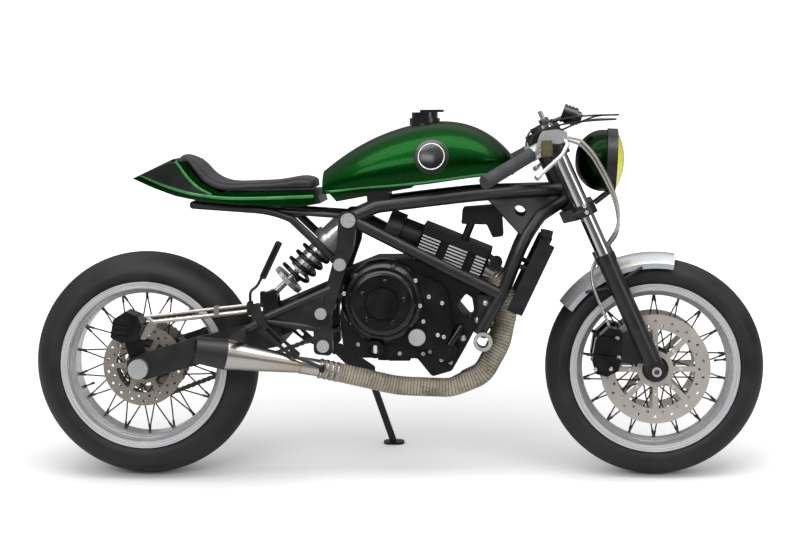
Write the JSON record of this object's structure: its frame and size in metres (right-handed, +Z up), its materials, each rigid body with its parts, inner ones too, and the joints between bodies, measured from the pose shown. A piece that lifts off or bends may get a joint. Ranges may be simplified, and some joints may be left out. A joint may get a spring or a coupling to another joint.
{
  "type": "cafe-racer motorcycle",
  "caption": "Cafe-racer motorcycle leaning on its side stand, with wire wheels, clip-on bars, a long teardrop tank and a humped single seat.",
  "frame": {"origin": "on the ground, under the middle of the whole leaning motorcycle's box", "axes": "+X forward to the front wheel, +Y to the rider's left, +Z up from the ground"},
  "size_m": [2.0218, 0.6648, 1.0142],
  "materials": {
    "green_paint": "gloss",
    "black_frame": "satin",
    "black_engine": "satin",
    "dark_cast": "satin",
    "aluminium": "satin",
    "chrome": "gloss",
    "steel": "satin",
    "disc_steel": "satin",
    "chain_steel": "satin",
    "wrap": "matte",
    "seat_vinyl": "matte",
    "rubber": "matte",
    "olive_plastic": "satin",
    "tyre": "matte",
    "yellow_glass": "gloss"
  },
  "bodies": {
    "frame": {"main_frame": "black_frame", "subframe": "black_frame", "frame_caps": "aluminium", "engine_case": "black_engine", "cylinders": "black_engine", "ignition_coils": "black_frame", "clutch_cover": "black_engine", "oil_filler": "aluminium", "generator_cover": "black_engine", "throttle_bodies": "dark_cast", "radiator": "black_frame", "exhaust_headers": "wrap", "silencer": "steel", "fuel_tank": "green_paint", "filler_cap": "black_frame", "tail_cowl": "green_paint", "seat_pad": "seat_vinyl", "shock_absorber": "aluminium", "shock_spring": "black_frame", "swingarm": "black_frame", "pivot_bolt": "aluminium", "rear_axle": "steel", "rear_brake": "black_engine", "torque_rods": "steel", "footrests": "black_frame", "rear_reservoir": "aluminium", "chain": "chain_steel", "output_sprocket": "chain_steel"},
    "steering": {"fork_yokes": "black_frame", "fork_tubes": "chrome", "fork_sliders": "black_frame", "front_axle": "steel", "headlamp_shell": "green_paint", "headlamp_ring": "black_frame", "headlamp_lens": "yellow_glass", "handlebars": "black_frame", "grips": "rubber", "brake_lever": "aluminium", "clutch_lever": "aluminium", "fluid_pot": "olive_plastic", "gauge": "black_frame", "front_fender": "aluminium", "front_calipers": "black_engine", "brake_hose": "steel", "throttle_cables": "rubber"},
    "front_wheel": {"front_tyre": "tyre", "front_rim": "aluminium", "front_hub": "black_frame", "front_discs": "disc_steel"},
    "rear_wheel": {"rear_tyre": "tyre", "rear_rim": "aluminium", "rear_hub": "black_frame", "rear_disc": "disc_steel", "rear_sprocket": "disc_steel"},
    "stand": {"side_stand": "black_frame"}
  },
  "joints": [
    {"name": "steering_turn", "type": "hinge", "parent": "frame", "child": "steering", "pos_m": [0.68359, -0.07993, 0.28532], "axis": [-0.4065, 0.135, 0.9036], "range_deg": [-25, 25]},
    {"name": "front_wheel_turn", "type": "hinge", "parent": "steering", "child": "front_wheel", "pos_m": [0.711, -0.07813, 0.29739], "axis": [0, 0.989, -0.1478], "continuous": true},
    {"name": "rear_wheel_turn", "type": "hinge", "parent": "frame", "child": "rear_wheel", "pos_m": [-0.699, -0.07635, 0.30962], "axis": [0, 0.989, -0.1478], "continuous": true},
    {"name": "side_stand_fold", "type": "hinge", "parent": "frame", "child": "stand", "pos_m": [-0.08902, 0.05472, 0.23932], "axis": [0.0001, 0.9483, 0.3173], "range_deg": [0, 98]}
  ]
}
